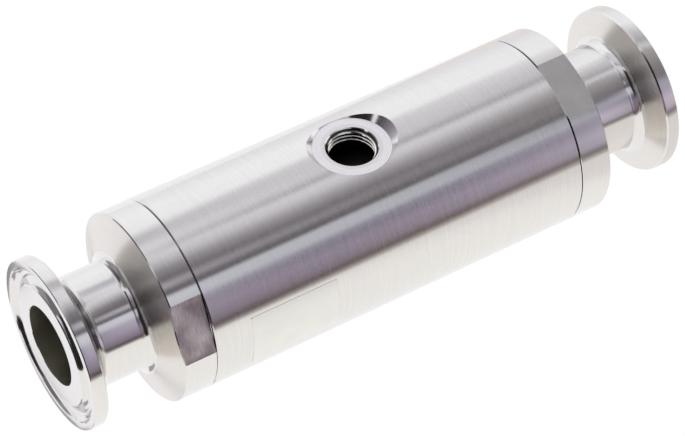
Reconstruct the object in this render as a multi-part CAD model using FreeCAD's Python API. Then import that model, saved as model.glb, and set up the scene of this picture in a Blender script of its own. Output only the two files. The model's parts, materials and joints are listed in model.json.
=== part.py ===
import FreeCAD, Part
import math
import os

# Air-operated sleeve pinch valve, 16 mm bore, with clamp ferrule ends.
# Millimetres. The bore axis is X, the flow runs from -X to +X, the air
# port looks along +Z, and the origin lies on the bore axis at mid-length.

# Bore and the walls round it, each built outwards from the one before.
bore_r = 8.0                # 16 mm flow bore
sleeve_wall = 3.0
chamber_gap = 2.5           # air chamber round the sleeve
seat_step = 1.5             # step in the housing that carries the rings
thread_step = 1.5           # thread crest beyond the seat bore
housing_wall = 2.5          # barrel outside the thread crest
fit_gap = 0.05              # radial, turned piece in turned seat
loose_gap = 0.1             # radial, washer and rubber in their seats

# Lengths along the bore.
housing_length = 81.2
cap_band = 6.5              # outer band of each end cap
neck_span = 15.1            # cap band to ferrule rim
rim_thick = 2.8
spigot_length = 12.0        # cap inside the housing
nose_length = 3.0           # plain nose ahead of the cap thread
thread_relief = 0.5         # housing thread runs this far past the nose
washer_thick = 1.0
collar_thick = 2.5          # sleeve end collar
ring_length = 4.5           # split support ring
ring_lead = 0.8             # rounded mouth of the support ring

# Cap thread M33 x 1.5 and its seal ring.
thread_pitch = 1.5
seal_cord = 1.78
seal_room = 0.2             # pocket beyond the seal ring
seal_end_gap = 0.02

# Cap outside and clamp ferrule.
edge_break = 0.2
cone_deg = 20.0             # clamp cone, and the same slope on the cap
neck_wall = 2.9
neck_fillet = 2.2
land_width = 4.1            # sealing land round the bore
groove_width = 3.4
groove_depth = 1.3
rim_margin = 1.5            # rim outside the gasket groove
rim_edge = 0.3
flat_depth = 1.0            # spanner flats, 36 mm across
inlet_flat_deg = 154.75     # flat normal, from +Y towards +Z
outlet_flat_deg = 113.2

# Air port G 1/8 with its spot face.
spot_r = 7.5
spot_sink = 0.06            # below the level where the ring closes
spot_cone_deg = 42.0        # cutter flank, from the port axis
port_major_r = 4.864
port_chamfer = 0.24

# Film label on the lower front of the barrel.
label_thick = 0.1
label_glue = 0.02
label_length = 18.5
label_from_end = 7.7        # housing end to label
label_deg = 180.25          # middle of the label, from +Y towards +Z
label_width = 12.43         # round the barrel

# Radii that follow.
sleeve_r = bore_r + sleeve_wall
chamber_r = sleeve_r + chamber_gap
seat_r = chamber_r + seat_step
thread_major_r = seat_r + thread_step
housing_r = thread_major_r + housing_wall
thread_r = thread_major_r + fit_gap
spigot_r = thread_major_r - 0.6134 * thread_pitch
seal_r = 0.5 * seal_cord
mouth_r = spigot_r + seal_cord + seal_room
nose_r = seat_r - fit_gap
ring_r = seat_r - fit_gap
ring_bore_r = sleeve_r + loose_gap
washer_r = seat_r - loose_gap
collar_r = seat_r - loose_gap
neck_r = bore_r + neck_wall
groove_in_r = bore_r + land_width
groove_out_r = groove_in_r + groove_width
rim_r = groove_out_r + rim_margin
flat_r = housing_r - flat_depth
spot_z = math.sqrt(housing_r ** 2 - spot_r ** 2) - spot_sink
port_r = port_major_r
port_chamfer_r = port_r + port_chamfer

# Stations that follow, from the middle outwards.
joint_x = 0.5 * housing_length
band_x = joint_x + cap_band
rim_x = band_x + neck_span
end_x = rim_x + rim_thick
nose_x = joint_x - spigot_length
nose_end_x = nose_x + nose_length
washer_x = nose_x - washer_thick
collar_x = washer_x - collar_thick
seat_x = collar_x - ring_length
seat_end_x = nose_end_x - thread_relief
thread_end_x = joint_x - seal_cord - seal_end_gap

os.makedirs("parts", exist_ok=True)

V = FreeCAD.Vector
X_AXIS = V(1, 0, 0)
Z_AXIS = V(0, 0, 1)
ZERO = V(0, 0, 0)


def turned(path, side=1):
    """Solid of revolution about X.

    path is a closed list of (x, r) corners. A corner with four numbers,
    (xm, rm, x, r), is reached by an arc through (xm, rm). side -1 makes
    the mirror image for the inlet end.
    """
    pts = [(side * p[-2], p[-1]) for p in path]
    edges = []
    for i in range(len(path)):
        nxt = path[(i + 1) % len(path)]
        a = V(pts[i][0], pts[i][1], 0)
        b = V(side * nxt[-2], nxt[-1], 0)
        if len(nxt) == 4:
            m = V(side * nxt[0], nxt[1], 0)
            edges.append(Part.Arc(a, m, b).toShape())
        else:
            edges.append(Part.makeLine(a, b))
    face = Part.Face(Part.Wire(edges))
    solid = face.revolve(ZERO, X_AXIS, 360).Solids[0]
    if solid.Volume < 0:
        solid.reverse()
    return solid


def corner_fillet(corner, before, after, radius):
    """Start corner and arc corner that round a profile corner."""
    cx, cr = corner
    ax, ar = before[0] - cx, before[1] - cr
    bx, br = after[0] - cx, after[1] - cr
    la, lb = math.hypot(ax, ar), math.hypot(bx, br)
    ax, ar, bx, br = ax / la, ar / la, bx / lb, br / lb
    half = 0.5 * math.acos(ax * bx + ar * br)
    reach = radius / math.tan(half)
    mx, mr = ax + bx, ar + br
    lm = math.hypot(mx, mr)
    gap = radius / math.sin(half) - radius
    return ((cx + ax * reach, cr + ar * reach),
            (cx + mx / lm * gap, cr + mr / lm * gap,
             cx + bx * reach, cr + br * reach))


def save(shape, name):
    shape.exportStep("parts/" + name + ".step")


# Housing: one turned tube, bored from both ends, with the air port.
e = edge_break
end = [
    (joint_x - e, housing_r), (joint_x, housing_r - e),
    (joint_x, mouth_r), (thread_end_x, mouth_r),
    (thread_end_x, thread_r), (seat_end_x, thread_r),
    (seat_end_x, seat_r), (seat_x, seat_r), (seat_x, chamber_r),
]
housing = turned(end + [(-x, r) for x, r in reversed(end)])
rise = housing_r - spot_z + 2.0
spot_cutter = Part.makeCone(
    spot_r, spot_r + rise * math.tan(math.radians(spot_cone_deg)),
    rise, V(0, 0, spot_z), Z_AXIS)
port_cutter = Part.makeCylinder(port_r, spot_z, ZERO, Z_AXIS)
chamfer_cutter = Part.makeCone(
    port_r, port_chamfer_r, port_chamfer,
    V(0, 0, spot_z - port_chamfer), Z_AXIS)
housing = housing.cut(spot_cutter).cut(port_cutter).cut(chamfer_cutter)
save(housing, "housing_tube")


def end_cap(side, flat_deg):
    """Cap, neck and ferrule turned in one piece, with two flats."""
    slope = math.tan(math.radians(cone_deg))
    cap_root = (band_x + (housing_r - neck_r) * slope, neck_r)
    rim_root = (rim_x - (rim_r - neck_r) * slope, neck_r)
    f1a, f1b = corner_fillet(cap_root, (band_x, housing_r), rim_root,
                             neck_fillet)
    f2a, f2b = corner_fillet(rim_root, cap_root, (rim_x, rim_r),
                             neck_fillet)
    b = 0.5 * e
    q = rim_edge * (1.0 - math.sqrt(0.5))
    solid = turned([
        (nose_x, bore_r), (nose_x, nose_r - e), (nose_x + e, nose_r),
        (nose_end_x, nose_r), (nose_end_x, spigot_r),
        (joint_x, spigot_r), (joint_x, housing_r - e),
        (joint_x + e, housing_r),
        (band_x - b, housing_r), (band_x + b * slope, housing_r - b),
        f1a, f1b, f2a, f2b,
        (rim_x - b * slope, rim_r - b), (rim_x + b, rim_r),
        (end_x - rim_edge, rim_r),
        (end_x - q, rim_r - q, end_x, rim_r - rim_edge),
        (end_x, groove_out_r),
        (end_x - groove_depth, 0.5 * (groove_in_r + groove_out_r),
         end_x, groove_in_r),
        (end_x, bore_r),
    ], side)
    reach = cap_root[0] - joint_x
    span = 2.0 * housing_r
    tool = Part.makeBox(
        reach, span, 2.0 * flat_depth,
        V(joint_x if side > 0 else -joint_x - reach, -housing_r, flat_r))
    for turn in (flat_deg - 90.0, flat_deg + 90.0):
        cut = tool.copy()
        cut.rotate(ZERO, X_AXIS, turn)
        solid = solid.cut(cut)
    return solid


save(end_cap(-1, inlet_flat_deg), "inlet_end_cap")
save(end_cap(1, outlet_flat_deg), "outlet_end_cap")

# Upper half of space, to split the rings and the sleeve at z = 0.
upper_half = Part.makeBox(2.0 * end_x, 2.0 * housing_r, housing_r,
                          V(-end_x, -housing_r, 0))

for side, name in ((-1, "inlet"), (1, "outlet")):
    # Seal ring of round cord on the spigot, against the cap shoulder.
    seal = Part.makeTorus(spigot_r + seal_r, seal_r,
                          V(side * (joint_x - seal_r), 0, 0), X_AXIS)
    save(seal, name + "_cap_seal_ring")

    # Slip washer between the cap nose and the rubber collar.
    washer = turned([
        (washer_x, bore_r), (washer_x, washer_r),
        (nose_x, washer_r), (nose_x, bore_r)], side)
    save(washer, name + "_slip_washer")

    # Support ring in two halves behind the collar.
    q = ring_lead * (1.0 - math.sqrt(0.5))
    ring = turned([
        (seat_x, ring_bore_r + ring_lead),
        (seat_x + q, ring_bore_r + q, seat_x + ring_lead, ring_bore_r),
        (collar_x, ring_bore_r), (collar_x, ring_r),
        (seat_x, ring_r)], side)
    save(ring.common(upper_half), name + "_support_ring_upper")
    save(ring.cut(upper_half), name + "_support_ring_lower")

    # End collar of the rubber sleeve.
    collar = turned([
        (collar_x, bore_r), (collar_x, collar_r),
        (washer_x, collar_r), (washer_x, bore_r)], side)
    save(collar, "sleeve_" + name + "_collar")

# Sleeve wall between the collars, as the two lips that meet when shut.
sleeve = turned([
    (-collar_x, bore_r), (-collar_x, sleeve_r),
    (collar_x, sleeve_r), (collar_x, bore_r)])
save(sleeve.common(upper_half), "sleeve_upper_wall")
save(sleeve.cut(upper_half), "sleeve_lower_wall")

# Label film, wrapped on the barrel.
label_x = -joint_x + label_from_end
half_angle = 0.5 * label_width / housing_r
mid = math.radians(label_deg)


def on_barrel(r, a):
    return V(label_x, r * math.cos(a), r * math.sin(a))


low_r = housing_r + label_glue
top_r = low_r + label_thick
a0, a1 = mid - half_angle, mid + half_angle
outline = Part.Wire([
    Part.Arc(on_barrel(low_r, a0), on_barrel(low_r, mid),
             on_barrel(low_r, a1)).toShape(),
    Part.makeLine(on_barrel(low_r, a1), on_barrel(top_r, a1)),
    Part.Arc(on_barrel(top_r, a1), on_barrel(top_r, mid),
             on_barrel(top_r, a0)).toShape(),
    Part.makeLine(on_barrel(top_r, a0), on_barrel(low_r, a0)),
])
film = Part.Face(outline).extrude(V(label_length, 0, 0))
if film.Volume < 0:
    film.reverse()
save(film, "label_film")
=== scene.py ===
"""Sleeve pinch valve, 16 mm bore, in turned stainless steel, on a pale floor.

Every steel, plastic and rubber piece is a surface worked out on a grid of two
parameters. The bore axis is X and the air port looks along +Z. Sizes are in
millimetres, except where a comment says metres, and meshes are in metres.
"""
import json
import math

import bmesh
import bpy
import numpy as np
from mathutils import Matrix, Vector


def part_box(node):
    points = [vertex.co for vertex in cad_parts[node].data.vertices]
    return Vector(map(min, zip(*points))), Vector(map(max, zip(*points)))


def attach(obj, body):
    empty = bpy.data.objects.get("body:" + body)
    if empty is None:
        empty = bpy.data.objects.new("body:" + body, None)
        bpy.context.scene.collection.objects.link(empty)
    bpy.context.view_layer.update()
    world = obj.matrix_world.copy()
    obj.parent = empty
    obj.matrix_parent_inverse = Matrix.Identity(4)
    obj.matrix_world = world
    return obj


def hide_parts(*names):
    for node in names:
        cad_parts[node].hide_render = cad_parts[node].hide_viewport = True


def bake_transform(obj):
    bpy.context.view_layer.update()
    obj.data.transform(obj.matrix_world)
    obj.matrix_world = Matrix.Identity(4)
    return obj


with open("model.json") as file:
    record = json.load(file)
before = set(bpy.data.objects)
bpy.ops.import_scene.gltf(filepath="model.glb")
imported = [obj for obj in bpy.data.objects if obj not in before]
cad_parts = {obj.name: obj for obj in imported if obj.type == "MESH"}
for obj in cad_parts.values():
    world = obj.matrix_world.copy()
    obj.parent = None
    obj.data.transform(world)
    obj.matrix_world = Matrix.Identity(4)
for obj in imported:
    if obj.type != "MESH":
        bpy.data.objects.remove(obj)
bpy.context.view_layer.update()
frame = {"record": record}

MM = 0.001


def high(node):
    """Highest corner of a node, in millimetres."""
    return np.array(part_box(node)[1]) / MM


def low(node):
    """Lowest corner of a node, in millimetres."""
    return np.array(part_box(node)[0]) / MM


def mount_radius(name):
    """Radius of a round mount, in millimetres."""
    mounts = frame["record"]["mounts"]
    return next(m["dims"]["r_mm"] for m in mounts if m["name"] == name)


# Radii and stations that the frame gives.
bore_r = mount_radius("flow_bore")
rim_r = mount_radius("inlet_rim")
port_major_r = mount_radius("air_port")
housing_r = high("housing_tube")[1]
joint_x = high("housing_tube")[0]
end_x = high("outlet_end_cap")[0]
nose_x = low("outlet_end_cap")[0]
washer_x = low("outlet_slip_washer")[0]
washer_r = high("outlet_slip_washer")[1]
collar_x = low("sleeve_outlet_collar")[0]
collar_r = high("sleeve_outlet_collar")[1]
seat_x = low("outlet_support_ring_upper")[0]
ring_r = high("outlet_support_ring_upper")[1]
sleeve_r = high("sleeve_upper_wall")[1]
label_low = low("label_film")
label_high = high("label_film")

# End cap and ferrule.
cap_band = 6.5
rim_thick = 2.8
cone_slope = math.tan(math.radians(20.0))
neck_wall = 2.9
neck_fillet = 2.2
land_width = 4.1            # sealing land round the bore
groove_width = 3.4
groove_depth = 1.3
rim_edge = 0.3
flat_depth = 1.0
flat_turn = {-1: 154.75, 1: 113.2}  # degrees from +Y towards +Z, inlet and outlet
nose_length = 3.0

# Slit between barrel and cap, half of it in each.
slit_half = 0.07
slit_depth = 0.9

# Broken edges.
edge_break = 0.2            # cap's nose
fine_break = 0.1            # bore and barrel mouth
band_break = 0.14           # cap's band, at the sloped face
rim_break = 0.22            # back of the ferrule's rim
groove_break = 0.14         # gasket groove
cap_break = 0.09            # cap, at the slit
barrel_break = 0.16         # barrel, at the slit

# Cap thread M33 x 1.5 with its seal.
cap_pitch = 1.5
male_crest_r = 16.4
male_root_r = 15.58
female_crest_r = 15.69
female_root_r = 16.55
thread_relief = 0.5
thread_stop = 0.4           # plain stretch between the cap's thread and its seal
seal_cord = 1.78
seal_room = 0.2

# Thread forms: to each side of a turn's middle, the shares of the pitch at
# which the turn stops being full and at which it has gone.
ridge_form = (0.0625, 0.375)
groove_form = (0.09, 0.42)

# Housing inside.
chamber_gap = 2.5
seat_gap = 0.05

# Rings and collars inside.
washer_round = 0.12
ring_gap = 0.1              # support ring round the sleeve
ring_lead = 0.8             # its rounded mouth
ring_round = 0.15
collar_round = 0.35

# Air port G 1/8 with its spot face.
port_pitch = 0.907
port_minor_r = 4.283
port_chamfer = 0.24
port_lead = 0.3
port_thread_end = 14.25
port_thread_turn = 3.86
spot_r = 7.5
spot_sink = 0.06
spot_slope = math.tan(math.radians(42.0))
burr_r = 7.43
burr_rise = 0.03
ring_flat_r = 7.34
ring_middle_r = 5.9

# Film label.
label_thick = 0.1
label_glue = 0.02
label_corner = 0.2
label_taper = 0.99          # its top against its underside

# Meshes: points this close are one, and shorter edges go.
merge_gap = 0.002
short_edge = 0.001

# Stations and radii that follow.
band_x = joint_x + cap_band
rim_x = end_x - rim_thick
neck_r = bore_r + neck_wall
groove_in_r = bore_r + land_width
groove_out_r = groove_in_r + groove_width
flat_r = housing_r - flat_depth
nose_end_x = nose_x + nose_length
nose_r = ring_r
seat_r = ring_r + seat_gap
chamber_r = sleeve_r + chamber_gap
mouth_r = male_root_r + seal_cord + seal_room
thread_end_x = joint_x - seal_cord
thread_start_x = nose_end_x - thread_relief
spot_z = math.sqrt(housing_r ** 2 - spot_r ** 2) - spot_sink


# Surfaces on a grid.


def sheet(points, rows_close=False, cols_close=False, finish=0, keep=None):
    """A grid of points with its faces.

    points is (rows, columns, 3). A closed direction joins its last line to
    its first. finish is the material of every face, or an array of one
    number a face. keep is a mask of the faces that stay.
    """
    rows, cols = points.shape[:2]
    i = np.arange(rows if rows_close else rows - 1)[:, None]
    j = np.arange(cols if cols_close else cols - 1)[None, :]
    i2, j2 = (i + 1) % rows, (j + 1) % cols
    quads = np.stack([i * cols + j, i2 * cols + j, i2 * cols + j2, i * cols + j2], -1)
    kept = np.ones(quads.shape[:2], bool) if keep is None else keep
    worn = np.broadcast_to(finish, quads.shape[:2])
    return points.reshape(-1, 3), quads[kept], worn[kept]


def piece(name, sheets, finishes, body, stands_for=(), crease=14.0):
    """One closed mesh from sheets that meet along shared points.

    Points that lie together are merged, normals are turned outwards, and
    edges that bend by more than crease degrees are sharp.
    """
    points = np.concatenate([s[0] for s in sheets])
    starts = np.cumsum([0] + [len(s[0]) for s in sheets[:-1]])
    quads = np.concatenate([s[1] + start for s, start in zip(sheets, starts)])
    worn = np.concatenate([s[2] for s in sheets])
    mesh = bpy.data.meshes.new(name)
    mesh.vertices.add(len(points))
    mesh.vertices.foreach_set("co", (points * MM).astype(np.float32).ravel())
    mesh.loops.add(quads.size)
    mesh.loops.foreach_set("vertex_index", quads.astype(np.int32).ravel())
    mesh.polygons.add(len(quads))
    mesh.polygons.foreach_set("loop_start", np.arange(0, quads.size, 4, dtype=np.int32))
    mesh.polygons.foreach_set("material_index", worn.astype(np.int32))
    mesh.update(calc_edges=True)
    work = bmesh.new()
    work.from_mesh(mesh)
    bmesh.ops.remove_doubles(work, verts=work.verts, dist=merge_gap * MM)
    bmesh.ops.dissolve_degenerate(work, edges=work.edges, dist=short_edge * MM)
    bmesh.ops.recalc_face_normals(work, faces=work.faces)
    work.to_mesh(mesh)
    work.free()
    mesh.polygons.foreach_set("use_smooth", np.ones(len(mesh.polygons), bool))
    mesh.set_sharp_from_angle(angle=math.radians(crease))
    for finish in finishes:
        mesh.materials.append(finish)
    made = bpy.data.objects.new(name, mesh)
    bpy.context.scene.collection.objects.link(made)
    if body:
        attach(made, body)
    if stands_for:
        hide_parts(*stands_for)
    return made


def turn_columns(step, at=(), clear=0.3):
    """Angles round the axis in radians, every step degrees, with exact extra
    ones, from which the others stay clear by so many degrees."""
    turns = np.arange(0.0, 360.0, step)
    for angle in at:
        apart = np.abs((turns - angle + 180.0) % 360.0 - 180.0)
        turns = turns[apart > clear]
    return np.radians(np.sort(np.concatenate([turns, np.array(at) % 360.0])))


def lathe(rows, turns):
    """Points of a profile turned round X: (x, r cos t, r sin t).

    Each row is (x, r), and either may change with the angle t.
    """
    x = np.stack([np.broadcast_to(row[0], turns.shape) for row in rows])
    r = np.stack([np.broadcast_to(row[1], turns.shape) for row in rows])
    return np.stack([x, r * np.cos(turns), r * np.sin(turns)], -1)


def rounded_corner(corner, before, after, radius, steps):
    """Rows of an arc that rounds a profile corner and touches both sides. Its
    centre lies on the corner's bisector, radius / sin(half the angle) away."""
    c, a, b = (np.array(p, float) for p in (corner, before, after))
    a = (a - c) / np.linalg.norm(a - c)
    b = (b - c) / np.linalg.norm(b - c)
    half = 0.5 * math.acos(float(a @ b))
    centre = c + (a + b) / np.linalg.norm(a + b) * radius / math.sin(half)
    start = c + a * radius / math.tan(half) - centre
    side = centre - c
    side = side / np.linalg.norm(side)
    turn = np.linspace(-1.0, 1.0, steps) * (0.5 * math.pi - half)
    across = start + side * float(start @ -side)
    across = across / np.linalg.norm(across)
    arc = [centre - side * radius * math.cos(t) - across * radius * math.sin(t) for t in turn]
    return [tuple(p) for p in arc]


def groove_arc(x, r_in, r_out, depth, steps):
    """Rows of a round-bottomed groove in a face at x, from its outer edge in.
    The arc's radius is (half width squared + depth squared) / (2 depth)."""
    half = 0.5 * (r_out - r_in)
    radius = (half ** 2 + depth ** 2) / (2.0 * depth)
    reach = math.asin(half / radius)
    centre_x, centre_r = x + radius - depth, r_in + half
    return [(centre_x - radius * math.cos(t), centre_r + radius * math.sin(t))
            for t in np.linspace(reach, -reach, steps)]


def thread_wave(x, turns, pitch, form):
    """Right-hand thread turn, a wave of x / pitch - turn: 1 up to the form's
    first share of the pitch from its middle, then straight down to 0."""
    full, gone = form
    phase = (x / pitch - turns / (2.0 * math.pi)) % 1.0
    return np.clip((gone - np.abs(phase - 0.5)) / (gone - full), 0.0, 1.0)


# Finishes.

# Real tool marks are about 0.1 mm apart. All marks are drawn coarser here, as
# coarse as they need to be to show.
radius_share = 0.83         # of the radius, beside x, along a turned profile
ring_run = 1.2              # changes in a radian round the axis, in long rings
scratch_run = 26.0          # and in short scratches
scratch_width = 0.16
ring_depth = 0.04
streak_depth = 0.03

# Widths of marks and clouds, in millimetres.
milled_cloud = 4.762
milled_streak = 0.1923      # along x
streak_length = 1.4286      # across it
cutter_ring = 0.18182
cutter_mark = 2.2222
film_cloud = 3.8462

# Steel in the tapped hole, by the radius from the port's axis in millimetres. The dark band in the
# thread's roots is painted shade.
tapped_span = (4.2, 5.4)
tapped_tones_painted_shade = ((4.464, "#FAFAF4"), (4.632, "#4E4A47"), (4.872, "#4E4A47"), (4.968, "#F2F0F2"))


def colour(code):
    """Linear RGBA of an sRGB hex colour."""
    parts = [int(code[i:i + 2], 16) / 255.0 for i in (1, 3, 5)]
    return [p / 12.92 if p <= 0.04045 else ((p + 0.055) / 1.055) ** 2.4 for p in parts] + [1.0]


def node(tree, kind, inputs=None, **settings):
    """One shader node with its settings. kind is its type without ShaderNode in
    front. An input is a value, an output, or a node, of which the first output
    counts."""
    made = tree.nodes.new("ShaderNode" + kind)
    for key, value in settings.items():
        setattr(made, key, value)
    for key, value in (inputs or {}).items():
        if isinstance(value, bpy.types.Node):
            value = value.outputs[0]
        if isinstance(value, bpy.types.NodeSocket):
            tree.links.new(value, made.inputs[key])
        else:
            made.inputs[key].default_value = value
    return made


def new_material(name):
    """An empty node material and its tree."""
    made = bpy.data.materials.new(name)
    made.use_nodes = True
    made.node_tree.nodes.clear()
    return made, made.node_tree


def scaled(tree, noise, low_end, high_end):
    """Noise, which mostly lies from 0.3 to 0.7, mapped to a range."""
    return node(tree, "MapRange", {0: noise, 1: 0.3, 2: 0.7, 3: low_end, 4: high_end})


def between_tones(tree, noise, tones):
    """A colour that the noise moves between two close ones."""
    return node(tree, "Mix", {0: scaled(tree, noise, 0.0, 1.0), 6: colour(tones[0]),
                              7: colour(tones[1])}, data_type="RGBA").outputs[2]


def colour_ramp(tree, share, stops):
    """Colours along a share from 0 to 1: (share, colour), in rising order."""
    ramp = node(tree, "ValToRGB", {0: share})
    elements = ramp.color_ramp.elements
    elements[0].position, elements[1].position = stops[0][0], stops[-1][0]
    elements[0].color, elements[1].color = colour(stops[0][1]), colour(stops[-1][1])
    for place, code in stops[1:-1]:
        elements.new(place).color = colour(code)
    return ramp


def turned_marks(tree, spacing, run, detail):
    """Noise drawn out round the X axis, as a lathe tool leaves it.

    It changes every spacing millimetres along the profile, where x and a
    share of r count, and run times in a radian round the axis.
    """
    place = node(tree, "TexCoord").outputs["Object"]
    radial = node(tree, "VectorMath", {0: place, 1: (0, 1, 1)}, operation="MULTIPLY")
    reach = node(tree, "VectorMath", {0: radial}, operation="LENGTH")
    around = node(tree, "VectorMath", {0: radial}, operation="NORMALIZE")
    x = node(tree, "SeparateXYZ", {0: place}).outputs["X"]
    along = node(tree, "Math", {0: reach.outputs["Value"], 1: radius_share, 2: x},
                 operation="MULTIPLY_ADD")
    along = node(tree, "Math", {0: along, 1: spacing * MM}, operation="DIVIDE")
    slow = node(tree, "VectorMath", {0: around, "Scale": run}, operation="SCALE")
    spread = node(tree, "CombineXYZ", {0: along})
    where = node(tree, "VectorMath", {0: slow, 1: spread}, operation="ADD")
    return node(tree, "TexNoise", {"Vector": where, "Scale": 1.0, "Detail": detail, "Roughness": 0.6})


def round_tangent(tree):
    """Direction round the X axis, for a finish whose marks run that way."""
    place = node(tree, "TexCoord").outputs["Object"]
    around = node(tree, "VectorMath", {0: (1, 0, 0), 1: place}, operation="CROSS_PRODUCT")
    return node(tree, "VectorTransform", {0: around}, vector_type="VECTOR", convert_from="OBJECT",
                convert_to="WORLD")


def port_reach(tree):
    """Place across the port's axis, and the distance from it."""
    place = node(tree, "TexCoord").outputs["Object"]
    across = node(tree, "VectorMath", {0: place, 1: (1, 1, 0)}, operation="MULTIPLY")
    return across, node(tree, "VectorMath", {0: across}, operation="LENGTH").outputs["Value"]


def round_stainless(name, spacing, roughness, stretch, relief, tones):
    """Stainless steel 316 with fine rings round the axis, spacing millimetres
    apart: they stretch every highlight along the axis and leave it sharp
    round it. Short fine scratches give it a grain."""
    made, tree = new_material(name)
    rings = turned_marks(tree, spacing, ring_run, 3.0)
    scratches = turned_marks(tree, scratch_width, scratch_run, 2.0)
    mixed = node(tree, "Mix", {0: 0.55, 2: rings, 3: scratches})
    bump = node(tree, "Bump", {"Strength": relief, "Distance": ring_depth * MM, "Height": mixed})
    spread = 0.03
    shader = node(tree, "BsdfPrincipled", {
        "Base Color": between_tones(tree, mixed, tones), "Metallic": 1.0,
        "Roughness": scaled(tree, mixed, roughness - spread, roughness + spread),
        "Anisotropic": stretch, "Anisotropic Rotation": 0.25,
        "Tangent": round_tangent(tree), "Normal": bump})
    node(tree, "OutputMaterial", {0: shader})
    return made


def milled_stainless(name, swell, roughness, tones):
    """The same steel, milled flat: slow swells of that height in millimetres
    make its gloss cloudy, and fine streaks run across the band."""
    made, tree = new_material(name)
    place = node(tree, "TexCoord").outputs["Object"]
    cloud = node(tree, "TexNoise", {"Vector": place, "Scale": 1.0 / (milled_cloud * MM), "Detail": 0.6})
    widths = (milled_streak * MM, streak_length * MM, streak_length * MM)
    drawn = node(tree, "VectorMath", {0: place, 1: widths}, operation="DIVIDE")
    streak = node(tree, "TexNoise", {"Vector": drawn, "Scale": 1.0, "Detail": 2.0})
    mixed = node(tree, "Mix", {0: 0.5, 2: streak, 3: cloud})
    wave = node(tree, "Bump", {"Strength": 1.0, "Distance": swell * MM, "Height": cloud})
    bump = node(tree, "Bump", {"Strength": 0.1, "Distance": streak_depth * MM, "Height": streak,
                               "Normal": wave})
    spread = 0.02 + 0.12 * swell
    shader = node(tree, "BsdfPrincipled", {
        "Base Color": between_tones(tree, mixed, tones), "Metallic": 1.0,
        "Roughness": scaled(tree, cloud, roughness - spread, roughness + spread),
        "Normal": bump})
    node(tree, "OutputMaterial", {0: shader})
    return made


def spot_faced_stainless():
    """The same steel, cut with a rotating tool about Z: the ring round the
    port, bright and finely scratched."""
    made, tree = new_material("stainless_spot_faced")
    across, reach = port_reach(tree)
    drawn = node(tree, "Math", {0: reach, 1: cutter_ring * MM}, operation="DIVIDE")
    lift = node(tree, "CombineXYZ", {2: drawn})
    slow = node(tree, "VectorMath", {0: across, "Scale": 1.0 / (cutter_mark * MM)},
                operation="SCALE")
    where = node(tree, "VectorMath", {0: slow, 1: lift}, operation="ADD")
    grain = node(tree, "TexNoise", {"Vector": where, "Scale": 1.0, "Detail": 2.0})
    bump = node(tree, "Bump", {"Strength": 0.05, "Distance": streak_depth * MM, "Height": grain})
    shader = node(tree, "BsdfPrincipled", {
        "Base Color": between_tones(tree, grain, ("#F3F1F5", "#FCFAFD")), "Metallic": 1.0,
        "Roughness": scaled(tree, grain, 0.24, 0.30), "Normal": bump})
    node(tree, "OutputMaterial", {0: shader})
    return made


def thread_cut_stainless():
    """The same steel where the cutter's flank and the tap have rubbed it
    smooth. The thread's roots are painted dark, as painted shade in the hole."""
    made, tree = new_material("stainless_thread_cut")
    _, reach = port_reach(tree)
    start, end = tapped_span
    share = node(tree, "MapRange", {0: reach, 1: start * MM, 2: end * MM})
    stops = [((r - start) / (end - start), code) for r, code in tapped_tones_painted_shade]
    shader = node(tree, "BsdfPrincipled", {
        "Base Color": colour_ramp(tree, share, stops), "Metallic": 1.0, "Roughness": 0.14})
    node(tree, "OutputMaterial", {0: shader})
    return made


def film_silver():
    """Thin silver polyester film with a matt face: an even soft gloss with no
    turning marks."""
    made, tree = new_material("polyester_film_silver")
    place = node(tree, "TexCoord").outputs["Object"]
    cloud = node(tree, "TexNoise", {"Vector": place, "Scale": 1.0 / (film_cloud * MM), "Detail": 2.0})
    shader = node(tree, "BsdfPrincipled", {
        "Base Color": between_tones(tree, cloud, ("#E9E9E7", "#EFEFED")), "Metallic": 1.0,
        "Roughness": scaled(tree, cloud, 0.24, 0.30), "Anisotropic": 0.7,
        "Anisotropic Rotation": 0.25, "Tangent": round_tangent(tree)})
    node(tree, "OutputMaterial", {0: shader})
    return made


def soft_material(name, tones, grain, roughness, relief):
    """A moulded or cut non-metal: two close tones, a grain that wide and that
    high in millimetres, and its roughness."""
    made, tree = new_material(name)
    place = node(tree, "TexCoord").outputs["Object"]
    cloud = node(tree, "TexNoise", {"Vector": place, "Scale": 1.0 / (grain * MM), "Detail": 3.0})
    bump = node(tree, "Bump", {"Strength": 0.3, "Distance": relief * MM, "Height": cloud})
    spread = 0.04
    shader = node(tree, "BsdfPrincipled", {
        "Base Color": between_tones(tree, cloud, tones),
        "Roughness": scaled(tree, cloud, roughness - spread, roughness + spread),
        "Normal": bump})
    node(tree, "OutputMaterial", {0: shader})
    return made


# Steel: a ground barrel, finely turned caps that mirror most sharply, softer
# faced slopes, dull bores with a darker olive tone that is painted shade, and
# milled flats, cloudy at the inlet and even at the outlet, whose mauve mottled
# inlet tones and greyer outlet tones are painted reflection.
ground = round_stainless("stainless_ground", 0.45, 0.17, 0.9, 0.05, ("#E2E1E2", "#EFEEEE"))
turned = round_stainless("stainless_fine_turned", 0.5, 0.13, 0.6, 0.04, ("#E4E3E4", "#EEEDED"))
faced = round_stainless("stainless_faced", 0.4, 0.25, 0.7, 0.06, ("#E4E0DB", "#EDEAE6"))
# The bores' darker, olive tones are painted shade inside the bore.
bored_painted_shade = round_stainless("stainless_bored", 0.3, 0.42, 0.2, 0.1, ("#B4B29E", "#C4C2B0"))
# The flats' tones are painted reflection: mauve and mottled at the inlet, greyer at the outlet.
milled = {-1: milled_stainless("stainless_milled_inlet", 0.4, 0.36, ("#B2A8AC", "#F2ECEE")),
          1: milled_stainless("stainless_milled_outlet", 0.03, 0.30, ("#CBCAC9", "#DCDBDA"))}
spot_faced = spot_faced_stainless()
thread_cut = thread_cut_stainless()
film = film_silver()

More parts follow.
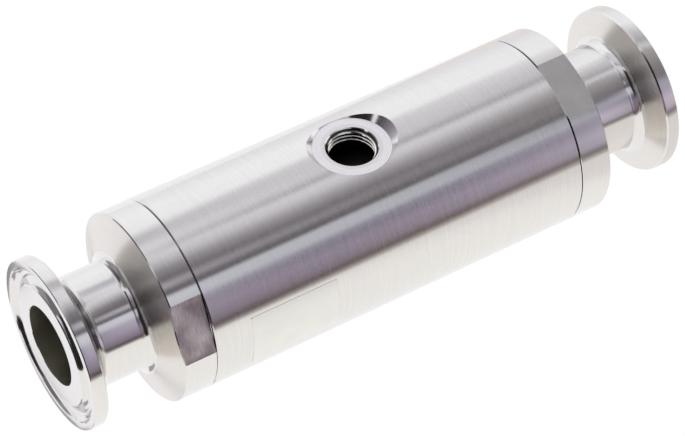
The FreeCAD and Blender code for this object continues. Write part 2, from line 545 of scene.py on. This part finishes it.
# Rubber and plastic: a matt black moulded sleeve, smoother black cord, waxy
# white washers and ivory rings.
sleeve_rubber = soft_material("natural_rubber_moulded", ("#211F1D", "#2C2A27"), 0.8, 0.55, 0.03)
seal_rubber = soft_material("nitrile_rubber_cord", ("#141414", "#1D1D1D"), 0.6, 0.38, 0.01)
slip_plastic = soft_material("ptfe_natural", ("#E6E4DD", "#F0EEE8"), 1.2, 0.42, 0.02)
ring_plastic = soft_material("pom_natural_turned", ("#D9D6CB", "#E4E1D7"), 0.5, 0.36, 0.02)


# Barrel.

# The port's own grid fills a window in the barrel's, which reaches so far along
# the bore and round it from the port's axis.
barrel_columns = 240
window_turn = math.radians(36.0)
window_x = 12.0
window_rows = 24
thread_rows_per_pitch = 14
skin_rows = 13
skin_crowding = 1.5         # draws those rows towards the port
port_rows = 150
chamber_rows = 7
edge_rounds = 40            # steps that find the port's outer edge


def stations(start, end, step):
    """Evenly spaced stations from start to end, no further apart than step."""
    return np.linspace(start, end, int(math.ceil(abs(end - start) / step)) + 1)


def female_thread(side, turns):
    """Rows of the cap thread in the barrel, from its mouth inwards: r is the
    crest's plus the thread wave times its depth, and at least the lead-in's."""
    rows = []
    for x in stations(thread_end_x, thread_start_x, cap_pitch / thread_rows_per_pitch):
        depth = thread_wave(side * x, turns, cap_pitch, groove_form)
        r = female_crest_r + (female_root_r - female_crest_r) * depth
        lead_in = female_root_r - (thread_end_x - x)
        rows.append((side * x, np.maximum(r, lead_in)))
    return rows


def barrel_end(side, turns):
    """Rows from the barrel's outside over its end and in to the air chamber."""
    return [
        (side * (joint_x - slit_half - barrel_break), housing_r),
        (side * (joint_x - slit_half), housing_r - barrel_break),
        (side * (joint_x - slit_half), housing_r - slit_depth),
        (side * joint_x, housing_r - slit_depth - slit_half),
        (side * joint_x, mouth_r + fine_break),
        (side * (joint_x - fine_break), mouth_r),
        (side * thread_end_x, mouth_r),
        *female_thread(side, turns),
        (side * thread_start_x, seat_r),
        (side * seat_x, seat_r),
        (side * seat_x, chamber_r),
    ]


def window_loop():
    """Closed loop round a square window, corner to corner, in unit steps:
    one number along the bore and one round the barrel."""
    columns = int(round(window_turn / math.pi * barrel_columns))
    across = np.linspace(-1.0, 1.0, columns + 1)[:-1]
    along = np.linspace(1.0, -1.0, window_rows + 1)[:-1]
    one_a, one_b = np.ones(len(across)), np.ones(len(along))
    u = np.concatenate([one_a, along, -one_a, -along])
    v = np.concatenate([across, one_b, -across, -one_b])
    return u, v


def on_cylinder(x, turn, radius):
    """Points (x, R sin turn, R cos turn) on a cylinder, with the turn counted
    from the top towards +Y."""
    return np.stack([x, radius * np.sin(turn), radius * np.cos(turn)], -1)


def patch(x0, turn0, x1, turn1, radius, shares):
    """Rows on a cylinder from one closed loop to another: x and the turn both
    change evenly with the share of the way."""
    s = np.array(shares)[:, None]
    return on_cylinder(x0 + (x1 - x0) * s, turn0 + (turn1 - turn0) * s, radius)


def port_bore(depth, angle):
    """Radius of the tapped hole: a rounded thread wave, opened at its mouth by
    a 45 degree chamfer and at its inner end by a plain relief."""
    z = spot_z - depth
    phase = z / port_pitch - (angle + port_thread_turn) / (2.0 * math.pi)
    wave = 0.5 + 0.5 * np.cos(2.0 * math.pi * phase)
    r = port_minor_r + (port_major_r - port_minor_r) * wave
    mouth = np.where(depth < port_lead, port_major_r + np.maximum(port_chamfer - depth, 0.0),
                     port_major_r - (depth - port_lead))
    relief = port_major_r - np.maximum(z - port_thread_end, 0.0)
    return np.maximum(r, np.maximum(mouth, relief))


def round_port(z, r, angle):
    """Points (r cos a, r sin a, z) round the port's own axis."""
    z, r = np.broadcast_to(z, angle.shape), np.broadcast_to(r, angle.shape)
    return np.stack([r * np.cos(angle), r * np.sin(angle), z], -1)


def port_sheet():
    """The barrel's surface round the port, the spot face and the tapped hole.

    The columns are angles round the port axis. The rows go from the window
    in the barrel's outside, down the flank of the cutter (r grows with z by
    its slope), over the ring and down the thread to the chamber window. The
    flank's upper edge is where its r gives the z that the barrel has there.
    """
    u, v = window_loop()
    x1, turn1 = window_x * u, window_turn * v
    angle = np.arctan2(housing_r * np.sin(turn1), x1)
    edge_r = np.full(angle.shape, spot_r)
    for _ in range(edge_rounds):
        edge_z = np.sqrt(housing_r ** 2 - (edge_r * np.sin(angle)) ** 2)
        edge_r = spot_r + (edge_z - spot_z) * spot_slope
    edge_turn = np.arcsin(edge_r * np.sin(angle) / housing_r)
    crowded = 1.0 - (1.0 - np.linspace(0.0, 1.0, skin_rows)) ** skin_crowding
    outside = patch(x1, turn1, edge_r * np.cos(angle), edge_turn, housing_r, crowded)
    flank = np.array([round_port(spot_z + (edge_z - spot_z) * s, spot_r + (edge_r - spot_r) * s, angle)
                      for s in (0.5, 0.0)])
    ring = ((burr_r, burr_rise), (ring_flat_r, 0.0), (ring_middle_r, 0.0))
    floor = np.array([round_port(spot_z + rise, r, angle) for r, rise in ring])
    bottom = np.sqrt(chamber_r ** 2 - (port_major_r * np.sin(angle)) ** 2)
    depths = np.linspace(0.0, 1.0, port_rows)[:, None] * (spot_z - bottom)
    hole = np.array([round_port(spot_z - depth, port_bore(depth, angle), angle) for depth in depths])
    start_turn = np.arcsin(port_major_r * np.sin(angle) / chamber_r)
    inside = patch(port_major_r * np.cos(angle), start_turn, x1 * chamber_r / housing_r, turn1,
                   chamber_r, np.linspace(0.0, 1.0, chamber_rows)[1:])
    blocks = (outside, flank, floor, hole, inside)
    finish = np.repeat((0, 2, 1, 2, 0), [len(block) for block in blocks])
    return sheet(np.concatenate(blocks), cols_close=True, finish=finish[1:, None])


def make_barrel():
    """The housing tube as one closed loop of rows, with two windows that the
    port's own grid fills."""
    turns = turn_columns(360.0 / barrel_columns)
    outer = np.linspace(-window_x, window_x, window_rows + 1)
    inner = outer[::-1] * chamber_r / housing_r
    rows = [(x, housing_r) for x in outer]
    rows += barrel_end(1, turns)
    first_inner = len(rows)
    rows += [(x, chamber_r) for x in inner]
    rows += barrel_end(-1, turns)[::-1]
    points = lathe(rows, turns)
    middle = turns + math.pi / barrel_columns
    in_window = np.abs(middle - 0.5 * math.pi) < window_turn
    keep = np.ones(points.shape[:2], bool)
    keep[:window_rows, in_window] = False
    keep[first_inner:first_inner + window_rows, in_window] = False
    wall = sheet(points, rows_close=True, cols_close=True, keep=keep)
    return piece("barrel", [wall, port_sheet()], [ground, spot_faced, thread_cut],
                 "housing", ["housing_tube"])


# End caps.

cap_step = 1.0              # degrees
bend_rows = 15
rim_rows = 6
groove_rows = 25

# Where a cap's finishes change: how far past the band's end and inside the
# flats its band counts, how far outside the bore the bore does, and how far
# above the neck and below the flats the sloped faces lie.
band_past = 0.3
band_inside = 0.05
bore_outside = 0.02
slope_above = 1.6
slope_below = 0.2


def male_thread(side, turns):
    """Rows of the thread on a cap, from the nose to the seal seat: r is the
    root's plus the thread wave times its height, which runs out at both ends."""
    last = thread_end_x - thread_stop
    rows = []
    for x in stations(nose_end_x, last, cap_pitch / thread_rows_per_pitch):
        height = (male_crest_r - male_root_r) * thread_wave(side * x, turns, cap_pitch, ridge_form)
        height = np.minimum(height, np.minimum(x - nose_end_x, last - x))
        rows.append((side * x, male_root_r + height))
    return rows


def from_flat(side, turns):
    """Angle in degrees from the middle of the nearer flat."""
    return (np.degrees(turns) - flat_turn[side] + 90.0) % 180.0 - 90.0


def cap_rows(side, turns):
    """Closed loop of rows of an end cap. The two flats lower the band's radius
    to flat_r / cos(angle from the flat), and the cone starts further on there."""
    band = np.minimum(housing_r, flat_r / np.cos(np.radians(from_flat(side, turns))))
    slit_x = joint_x + slit_half
    slit_r = housing_r - slit_depth - flat_depth
    cone_x = band_x + (housing_r - band) * cone_slope
    cap_root = (band_x + (housing_r - neck_r) * cone_slope, neck_r)
    rim_root = (rim_x - (rim_r - neck_r) * cone_slope, neck_r)
    round_x, round_r = end_x - rim_edge, rim_r - rim_edge
    nose = [(nose_x, nose_r - edge_break), (nose_x + edge_break, nose_r), (nose_end_x, nose_r)]
    outer = [
        (joint_x, male_root_r),
        (joint_x, slit_r - slit_half),
        (slit_x, slit_r),
        (slit_x, band - cap_break),
        (slit_x + cap_break, band),
        (cone_x - band_break, band),
        (cone_x + band_break * cone_slope, band - band_break),
        *rounded_corner(cap_root, (band_x, housing_r), rim_root, neck_fillet, bend_rows),
        *rounded_corner(rim_root, cap_root, (rim_x, rim_r), neck_fillet, bend_rows),
        (rim_x - rim_break * cone_slope, rim_r - rim_break),
        (rim_x + rim_break, rim_r),
        *[(round_x + rim_edge * math.sin(t), round_r + rim_edge * math.cos(t))
          for t in np.linspace(0.0, 0.5 * math.pi, rim_rows)],
        (end_x, groove_out_r + groove_break),
        *groove_arc(end_x, groove_in_r, groove_out_r, groove_depth, groove_rows)[1:-1],
        (end_x, groove_in_r - groove_break),
        (end_x, bore_r + fine_break),
        (end_x - fine_break, bore_r),
        (nose_x, bore_r),
    ]
    return ([(side * x, r) for x, r in nose] + male_thread(side, turns)
            + [(side * x, r) for x, r in outer])


def make_cap(side, name):
    """An end cap, turned in one piece from nose to ferrule, with milled flats.
    Each face's finish follows from the x and r of its middle."""
    half = math.degrees(math.acos(flat_r / housing_r))
    edges = [flat_turn[side] + s * half + more for more in (0, 180) for s in (-1, 1)]
    turns = turn_columns(cap_step, edges)
    points = lathe(cap_rows(side, turns), turns)
    step = (np.roll(turns, -1) - turns) % (2.0 * math.pi)
    on_flat = np.abs(from_flat(side, turns + 0.5 * step)) < half
    x = np.abs(points[..., 0])
    x = 0.5 * (x + np.roll(x, -1, 0))
    r = np.hypot(points[..., 1], points[..., 2])
    r = 0.5 * (r + np.roll(r, -1, 0))
    on_band = (x > joint_x) & (x < band_x + band_past) & (r > flat_r - band_inside)
    on_slope = (x > band_x) & (x < rim_x) & (r > neck_r + slope_above) & (r < flat_r - slope_below)
    finish = (on_band & on_flat).astype(int)
    finish[r < bore_r + bore_outside] = 2
    finish[on_slope] = 3
    wall = sheet(points, rows_close=True, cols_close=True, finish=finish)
    return piece(name + "_cap", [wall], [turned, milled[side], bored_painted_shade, faced], name + "_cap",
                 [name + "_end_cap"])


# Seals, washers, rings and collars.

ring_step = 2.0             # degrees
rubber_step = 2.5
cord_points = 24


def ring_corners(side, start, end, inner, outer):
    """Corners of a ring's section, from the inner one at its start round."""
    return [(side * start, inner), (side * start, outer), (side * end, outer), (side * end, inner)]


def rounded_loop(corners, rounds):
    """A closed profile, with a radius and a number of rows for each corner, or
    None where it stays sharp."""
    rows = []
    for i, corner in enumerate(corners):
        if rounds[i] is None:
            rows.append(corner)
        else:
            rows += rounded_corner(corner, corners[i - 1], corners[(i + 1) % len(corners)], *rounds[i])
    return rows


def whole_ring(rows, step):
    """A closed profile turned all the way round."""
    return [sheet(lathe(rows, turn_columns(step)), rows_close=True, cols_close=True)]


def half_turn(upper, step):
    """Angles round the axis over its upper or its lower half."""
    start = 0.0 if upper else math.pi
    return np.linspace(start, start + math.pi, int(round(180.0 / step)) + 1)


def half_ring(rows, upper):
    """Half a turned ring: its wall, and its two end faces as narrow grids."""
    wall = lathe(rows, half_turn(upper, ring_step))
    half = len(rows) // 2
    faces = [sheet(np.stack([edge[:half], edge[half:][::-1]])) for edge in (wall[:, 0], wall[:, -1])]
    return [sheet(wall, rows_close=True), *faces]


def make_seal(side, name):
    """Round cord ring: a circle of the cord's radius carried round the axis."""
    cord_r = 0.5 * seal_cord
    around = np.linspace(0.0, 2.0 * math.pi, cord_points, endpoint=False)
    rows = [(side * (joint_x - cord_r) + cord_r * math.cos(t),
             male_root_r + cord_r + cord_r * math.sin(t)) for t in around]
    return piece(name + "_seal_cord", whole_ring(rows, rubber_step), [seal_rubber], name + "_cap",
                 [name + "_cap_seal_ring"], 40.0)


def make_washer(side, name):
    """Flat slip washer between the cap's nose and the rubber collar."""
    corners = ring_corners(side, washer_x, nose_x, bore_r, washer_r)
    rows = rounded_loop(corners, [(washer_round, 5)] * 4)
    return piece(name + "_washer", whole_ring(rows, ring_step), [slip_plastic], name + "_washer",
                 [name + "_slip_washer"], 30.0)


def make_support_ring(side, name, upper):
    """Half of the split ring that the rubber collar pulls against, with its
    mouth rounded where the sleeve bends in."""
    corners = ring_corners(side, seat_x, collar_x, sleeve_r + ring_gap, ring_r)
    rows = rounded_loop(corners, [(ring_lead, 9), (ring_round, 4), (ring_round, 4), (ring_round, 9)])
    part = "upper" if upper else "lower"
    return piece(name + "_ring_" + part, half_ring(rows, upper), [ring_plastic],
                 "housing", [name + "_support_ring_" + part], 30.0)


def make_collar(side, name):
    """End collar of the rubber sleeve, rounded outside, sharp on the bore."""
    corners = ring_corners(side, collar_x, washer_x, bore_r, collar_r)
    rows = rounded_loop(corners, [None, (collar_round, 6), (collar_round, 6), None])
    return piece("sleeve_collar_" + name, whole_ring(rows, ring_step), [sleeve_rubber], "housing",
                 ["sleeve_" + name + "_collar"], 30.0)


# Sleeve.

pinch_half = 6.0            # half of the middle length
middle_rows = 25
end_rows = 40


def sleeve_wall(x_rows, upper):
    """Half a tube between stations, (x, r cos t, r sin t) with r the sleeve's
    radius outside and the bore's inside, closed by the two cut edges and the
    two ends."""
    turns = half_turn(upper, rubber_step)
    outer = lathe([(x, sleeve_r) for x in x_rows], turns)
    inner = lathe([(x, bore_r) for x in x_rows], turns)
    return [
        sheet(outer), sheet(inner),
        sheet(np.stack([outer[:, 0], inner[:, 0]])), sheet(np.stack([outer[:, -1], inner[:, -1]])),
        sheet(np.stack([outer[0], inner[0]])), sheet(np.stack([outer[-1], inner[-1]])),
    ]


def make_sleeve_half(upper):
    """Half of the rubber sleeve in three lengths, each a straight half tube."""
    part = "upper" if upper else "lower"
    for name, side in (("middle", 0), ("inlet", -1), ("outlet", 1)):
        if side == 0:
            x_rows = np.linspace(-pinch_half, pinch_half, middle_rows)
        else:
            x_rows = np.linspace(side * pinch_half, side * collar_x, end_rows)
        stands_for = ["sleeve_" + part + "_wall"] if side == 0 else []
        made = piece("sleeve_" + part + "_" + name, sleeve_wall(x_rows, upper), [sleeve_rubber],
                     None, stands_for, 30.0)
        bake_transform(made)


# Film label.

corner_points = 9
edge_points = 12
label_rings = 12


def label_outline(half_x, half_s):
    """Points round a rectangle with rounded corners, a row of arcs and edges."""
    quarter = np.linspace(0.0, 0.5 * math.pi, corner_points)
    arcs = []
    for k, (sx, ss) in enumerate(((1, 1), (-1, 1), (-1, -1), (1, -1))):
        t = quarter + 0.5 * math.pi * k
        arcs.append(np.stack([sx * (half_x - label_corner) + label_corner * np.cos(t),
                              ss * (half_s - label_corner) + label_corner * np.sin(t)], -1))
    share = np.linspace(0.0, 1.0, edge_points + 2)[1:-1, None]
    outline = []
    for arc, after in zip(arcs, arcs[1:] + arcs[:1]):
        outline += [arc, arc[-1] + (after[0] - arc[-1]) * share]
    return np.concatenate(outline).T


def make_label():
    """Bare film wrapped on the barrel: a rounded rectangle in the unrolled
    surface, as rings that shrink to its middle, on top and underneath."""
    half_x = 0.5 * (label_high[0] - label_low[0])
    middle_x = 0.5 * (label_high[0] + label_low[0])
    low_r = housing_r + label_glue
    top_r = low_r + label_thick
    high_turn = math.asin(label_high[2] / top_r)
    low_turn = math.asin(label_low[2] / top_r)
    middle_turn = math.pi - 0.5 * (high_turn + low_turn)
    x, s = label_outline(half_x, 0.5 * (high_turn - low_turn) * housing_r)
    rings = [(share, low_r) for share in np.linspace(0.0, 1.0, label_rings)]
    rings += [(share, top_r) for share in (label_taper, *np.linspace(0.9, 0.0, label_rings - 1))]
    rows = []
    for share, r in rings:
        turn = middle_turn + share * s / housing_r
        rows.append(np.stack([middle_x + share * x, r * np.cos(turn), r * np.sin(turn)], -1))
    return piece("label", [sheet(np.array(rows), cols_close=True)], [film], "housing",
                 ["label_film"], 40.0)


make_barrel()
for end_side, end_name in ((-1, "inlet"), (1, "outlet")):
    make_cap(end_side, end_name)
    make_seal(end_side, end_name)
    make_washer(end_side, end_name)
    make_support_ring(end_side, end_name, True)
    make_support_ring(end_side, end_name, False)
    make_collar(end_side, end_name)
make_sleeve_half(True)
make_sleeve_half(False)
make_label()


# Studio.

floor_z = -150.0
floor_radius = 850.0
tent_radius = 900.0
tent_from = -2600.0
tent_to = 1300.0

# How brightly tent and table glow, and the share of that which is left at each
# bounce between steel and steel.
tent_level, tent_kept = 1.04, 0.6
table_level, table_kept = 1.12, 0.88

# The table's tone in gloss, in metres: it turns warm towards the near side,
# within warm_edge of the bore axis, and grey beyond the outlet end, between two
# lines that lean outwards by grey_lean. To the eye a share of it glows white
# and the rest is matt.
warm_edge = 0.03
grey_lean = 0.2
grey_from, grey_to = 0.112, 0.124
glow_share = 0.8

# The camera that was fitted to the photograph: degrees and millimetres.
camera_azimuth = -32.6463
camera_elevation = 46.8466
camera_roll = 0.7636
camera_place = (-215.858, -333.989, 422.037)
camera_lens = 159.886

# Brightness of the light tent round the bore axis, from straight down through
# the far side (0), the top (90) and the near side (180): angle and colour.
tent_bands = (
    (-90, "#FFFFFF"), (-18, "#ECECEE"), (-4, "#EEEEF0"), (20, "#FFFFFF"), (42, "#FFFFFF"),
    (49, "#DCDADE"), (73, "#D4D2D6"), (80, "#A8A6A8"), (86, "#E4E2E6"), (94, "#DAD8DC"),
    (104, "#A8A4A8"), (112, "#7C787C"), (121, "#7C787C"), (130, "#534F53"), (133, "#C4C8CA"),
    (143, "#BCC0C4"), (147, "#868490"), (153, "#6C6472"), (164, "#867A88"), (176, "#80747C"),
    (184, "#645650"), (191, "#C8C2BC"), (200, "#EEEAE6"), (215, "#FCFAF0"), (270, "#FFFFFF"))

# The same for the stretch that the inlet cap mirrors, and for the outlet cap.
inlet_bands = (
    (-90, "#FFFFFF"), (-8, "#F6F6F6"), (20, "#FFFFFF"), (48, "#F4F4F4"), (56, "#BEBCC0"),
    (63, "#C6C4C8"), (70, "#E8E6EA"), (82, "#E8E6EA"), (103, "#807C80"), (114, "#6E686C"),
    (119, "#BEBAC0"), (122, "#BEBAC0"), (126, "#767276"), (130, "#6A666A"), (133, "#DAD8E2"),
    (140, "#D6D4DE"), (149, "#BCB8C4"), (160, "#B0A8B8"), (170, "#9A90A0"), (178, "#8A808E"),
    (185, "#40363A"), (190, "#CEC8C2"), (200, "#EAE6E2"), (209, "#FAF6F2"), (270, "#FFFFFF"))
outlet_bands = (
    (-90, "#FFFFFF"), (-8, "#E8E6E8"), (14, "#F4F4F6"), (42, "#FAFAFA"), (62, "#D0CED0"),
    (78, "#B0AEB0"), (87, "#D6D4D6"), (95, "#A8A4A4"), (122, "#868080"), (134, "#7E7A82"),
    (142, "#A8A4AE"), (154, "#B0AAB8"), (166, "#C8C0CE"), (178, "#C0B6C4"), (185, "#7E7476"),
    (191, "#C0BAB4"), (205, "#E0DAD4"), (270, "#E6E0DA"))

# Where along the tent, in metres, the outlet's stretch takes over from the main
# one, then the inlet's, and beyond the inlet end the main one again.
tent_steps = ((0.45, 0.47), (0.27, 0.24), (0.08, 0.0))

# Cards stand across the bore axis at these x, or lie just above the table.
card_z = -148.0
rim_x_far = -130.0
rim_x_near = -74.0
port_x = -66.5
port_z = (29, 86)

# Grey steps of a card that the port's cut flank mirrors: from y to y, and colour.
port_greys = (
    (11.6, 26, "#504C52"), (26, 39, "#646066"), (39, 54, "#767278"), (54, 72, "#86828A"),
    (72, 92, "#94929A"), (92, 116, "#A4A2A8"), (116, 148, "#B8B6BC"), (148, 187, "#D0CED4"))


def upright_card(x, y0, y1, z0, z1):
    """Corners of a card that stands across the bore axis."""
    return (x, y0, z0), (x, y1, z0), (x, y1, z1), (x, y0, z1)


def flat_card(x0, x1, y0, y1):
    """Corners of a card just above the table. An edge's y is one number, or
    the two that it has at x0 and at x1."""
    (a0, a1), (b0, b1) = np.broadcast_to(y0, 2), np.broadcast_to(y1, 2)
    return (x0, b0, card_z), (x1, b1, card_z), (x1, a1, card_z), (x0, a0, card_z)


# Cards that show in gloss alone: name, corners and colour.
cards = (
    # A dark stretch of table, far out before the inlet end.
    ("card_dark", flat_card(-840, -480, -690, 0), "#3A3631"),
    # Across the tent's ends.
    ("card_outlet_end", upright_card(1250, -300, 300, -260, 180), "#C4C2C6"),
    ("card_inlet_end", upright_card(-2500, -600, 600, -520, 360), "#C4C2C6"),
    # Mirrored by the inlet ferrule's groove and rounded edges and by its neck's
    # fillets.
    ("card_rim_low", upright_card(rim_x_far, -150, -10, -24, 18), "#262422"),
    ("card_rim_high", upright_card(rim_x_far, -130, 12, 18, 75), "#262422"),
    ("card_rim_grey", upright_card(rim_x_far, 12, 75, 12, 150), "#767274"),
    ("card_rim_pale", upright_card(rim_x_far, 75, 240, 12, 150), "#9A9698"),
    ("card_rim_front", upright_card(rim_x_near, 12, 36, -70, -38), "#AAA6A8"),
    # Between these the inlet cap's sloped face mirrors the bare table.
    ("card_rim_floor", flat_card(-128, -64, -8, (19, 45)), "#AAA6A8"),
    ("card_rim_floor_mid", flat_card(-112, -72, (58, 76), 84), "#AAA6A8"),
    ("card_rim_floor_far", flat_card(-128, -64, 140, 178), "#9A9698"),
    # Mirrored by the port's cut flank: a black wedge, a bright streak, greys.
    ("card_port_black", upright_card(port_x, -149, -3.8, 53, 163), "#242426"),
    ("card_port_lamp", upright_card(port_x - 1.0, -5, 13, 65, 109), "#FFFFFF"),
    *[(f"card_port_grey_{i}", upright_card(port_x, start, end, *port_z), code)
      for i, (start, end, code) in enumerate(port_greys)],
)


def bounce_loss(tree, level, kept):
    """A level that falls to the kept share at each bounce after the first, so
    that steel which mirrors steel darkens as it does in a real corner."""
    depth = node(tree, "LightPath").outputs["Glossy Depth"]
    more = node(tree, "Math", {0: depth, 1: 1.0}, operation="SUBTRACT")
    more = node(tree, "Math", {0: more, 1: 0.0}, operation="MAXIMUM")
    share = node(tree, "Math", {0: kept, 1: more}, operation="POWER")
    return node(tree, "Math", {0: share, 1: level}, operation="MULTIPLY")


def band_ramp(tree, share, bands):
    """Colours over one turn, from straight down to straight down."""
    return colour_ramp(tree, share, [((turn + 90.0) / 360.0, code) for turn, code in bands])


def tent_material():
    """White cloth and grey flags that glow: ramps of colours over the angle
    round the X axis, read from the place on the tent, one for each stretch
    along it."""
    made, tree = new_material("tent_cloth")
    place = node(tree, "TexCoord").outputs["Object"]
    parts = node(tree, "SeparateXYZ", {0: place}).outputs
    angle = node(tree, "Math", {0: parts["Z"], 1: parts["Y"]}, operation="ARCTAN2")
    down, round_again = -0.5 * math.pi, 1.5 * math.pi
    turn = node(tree, "Math", {0: angle, 1: round_again, 2: down}, operation="WRAP")
    share = node(tree, "MapRange", {0: turn, 1: down, 2: round_again})
    tone = band_ramp(tree, share, tent_bands)
    for (start, end), bands in zip(tent_steps, (outlet_bands, inlet_bands, tent_bands)):
        beyond = node(tree, "MapRange", {0: parts["X"], 1: start, 2: end})
        tone = node(tree, "Mix", {0: beyond, 6: tone, 7: band_ramp(tree, share, bands)},
                    data_type="RGBA").outputs[2]
    level = bounce_loss(tree, tent_level, tent_kept)
    glow = node(tree, "Emission", {"Color": tone, "Strength": level})
    node(tree, "OutputMaterial", {0: glow})
    made.cycles.emission_sampling = "NONE"
    return made


def stage_object(name, points, faces, finish):
    """A sheet of the studio, which isn't part of the object."""
    mesh = bpy.data.meshes.new(name)
    mesh.from_pydata((points * MM).tolist(), [], faces.tolist())
    mesh.materials.append(finish)
    made = bpy.data.objects.new(name, mesh)
    bpy.context.scene.collection.objects.link(made)
    return made


def make_tent():
    """A tube of cloth round the bore axis. The camera looks through it."""
    rows = [(x, tent_radius) for x in np.linspace(tent_from, tent_to, 5)]
    points, faces, _ = sheet(lathe(rows, turn_columns(5.0)), cols_close=True)
    tent = stage_object("light_tent", points, faces, tent_material())
    tent.visible_camera = False
    tent.visible_shadow = False


def make_card(name, corners, code):
    """Flat card that shows in gloss alone, given by its corners."""
    made, tree = new_material(name)
    glow = node(tree, "Emission", {"Color": colour(code), "Strength": 1.0})
    node(tree, "OutputMaterial", {0: glow})
    card = stage_object(name, np.array(corners, float), np.arange(4)[None, :], made)
    card.visible_camera = False
    card.visible_diffuse = False
    card.visible_shadow = False


def light_path_white(tree):
    """1 for rays from the camera, off gloss and through glass, which all see
    the background as white, and 0 for the rest."""
    rays = node(tree, "LightPath").outputs
    first = node(tree, "Math", {0: rays["Is Camera Ray"], 1: rays["Is Glossy Ray"]},
                 operation="MAXIMUM")
    return node(tree, "Math", {0: first, 1: rays["Is Transmission Ray"]}, operation="MAXIMUM")


def floor_material():
    """Pale table top: mostly plain white to the eye, with a share of matt white
    that keeps the object's shadow, and open from underneath."""
    made, tree = new_material("floor_white")
    place = node(tree, "TexCoord").outputs["Object"]
    parts = node(tree, "SeparateXYZ", {0: place}).outputs
    aside = node(tree, "Math", {0: parts["Y"]}, operation="ABSOLUTE")
    reach = node(tree, "Math", {0: aside, 1: -grey_lean, 2: parts["X"]}, operation="MULTIPLY_ADD")
    far = node(tree, "MapRange", {0: reach, 1: grey_from, 2: grey_to})
    near = node(tree, "MapRange", {0: parts["Y"], 1: warm_edge, 2: -warm_edge})
    warm = node(tree, "Mix", {0: near, 6: colour("#FCFBFC"), 7: colour("#FEFCF6")},
                data_type="RGBA").outputs[2]
    gloss = node(tree, "Mix", {0: far, 6: warm, 7: colour("#EAE4DF")}, data_type="RGBA").outputs[2]
    rays = node(tree, "LightPath").outputs
    tone = node(tree, "Mix", {0: rays["Is Glossy Ray"], 6: colour("#FFFFFF"), 7: gloss},
                data_type="RGBA").outputs[2]
    level = bounce_loss(tree, table_level, table_kept)
    white = node(tree, "Emission", {"Color": tone, "Strength": level})
    matt = node(tree, "BsdfDiffuse", {"Color": colour("#F4F4F4")})
    glow = node(tree, "Math", {0: light_path_white(tree), 1: glow_share}, operation="MULTIPLY")
    seen = node(tree, "MixShader", {0: glow, 1: matt, 2: white})
    below = node(tree, "NewGeometry").outputs["Backfacing"]
    clear = node(tree, "BsdfTransparent")
    both = node(tree, "MixShader", {0: below, 1: seen, 2: clear})
    node(tree, "OutputMaterial", {0: both})
    return made


def make_floor():
    """The table: a disc under the object."""
    turns = np.linspace(0.0, 2.0 * math.pi, 96, endpoint=False)
    radii = np.array([0.0, floor_radius])[:, None]
    level = np.full((2, len(turns)), floor_z)
    points, faces, _ = sheet(np.stack([radii * np.cos(turns), radii * np.sin(turns), level], -1),
                             cols_close=True)
    stage_object("floor", points, faces, floor_material())


def make_world():
    """White behind everything that is seen, and even white light for the rest."""
    world = bpy.data.worlds.new("studio")
    bpy.context.scene.world = world
    world.use_nodes = True
    world.node_tree.nodes.clear()
    white = node(world.node_tree, "Background", {"Color": colour("#FFFFFF"), "Strength": 1.0})
    node(world.node_tree, "OutputWorld", {0: white})


def make_camera():
    """The photograph's view: place, aim and lens."""
    azimuth, elevation = math.radians(camera_azimuth), math.radians(camera_elevation)
    roll = math.radians(camera_roll)
    back = np.array([math.sin(azimuth) * math.cos(elevation),
                     -math.cos(azimuth) * math.cos(elevation), math.sin(elevation)])
    level = np.cross([0.0, 0.0, 1.0], back)
    level = level / np.linalg.norm(level)
    rise = np.cross(back, level)
    right = math.cos(roll) * level + math.sin(roll) * rise
    up = -math.sin(roll) * level + math.cos(roll) * rise
    lens = bpy.data.cameras.new("camera")
    lens.sensor_width = 36.0
    lens.lens = camera_lens
    lens.clip_start = 0.05
    lens.clip_end = 20.0
    camera = bpy.data.objects.new("camera", lens)
    bpy.context.scene.collection.objects.link(camera)
    turn = Matrix((right, up, back)).transposed().to_4x4()
    camera.matrix_world = Matrix.Translation(np.array(camera_place) * MM) @ turn
    bpy.context.scene.camera = camera


make_world()
make_tent()
for card in cards:
    make_card(*card)
make_floor()
make_camera()
bpy.context.scene.view_settings.view_transform = "Standard"
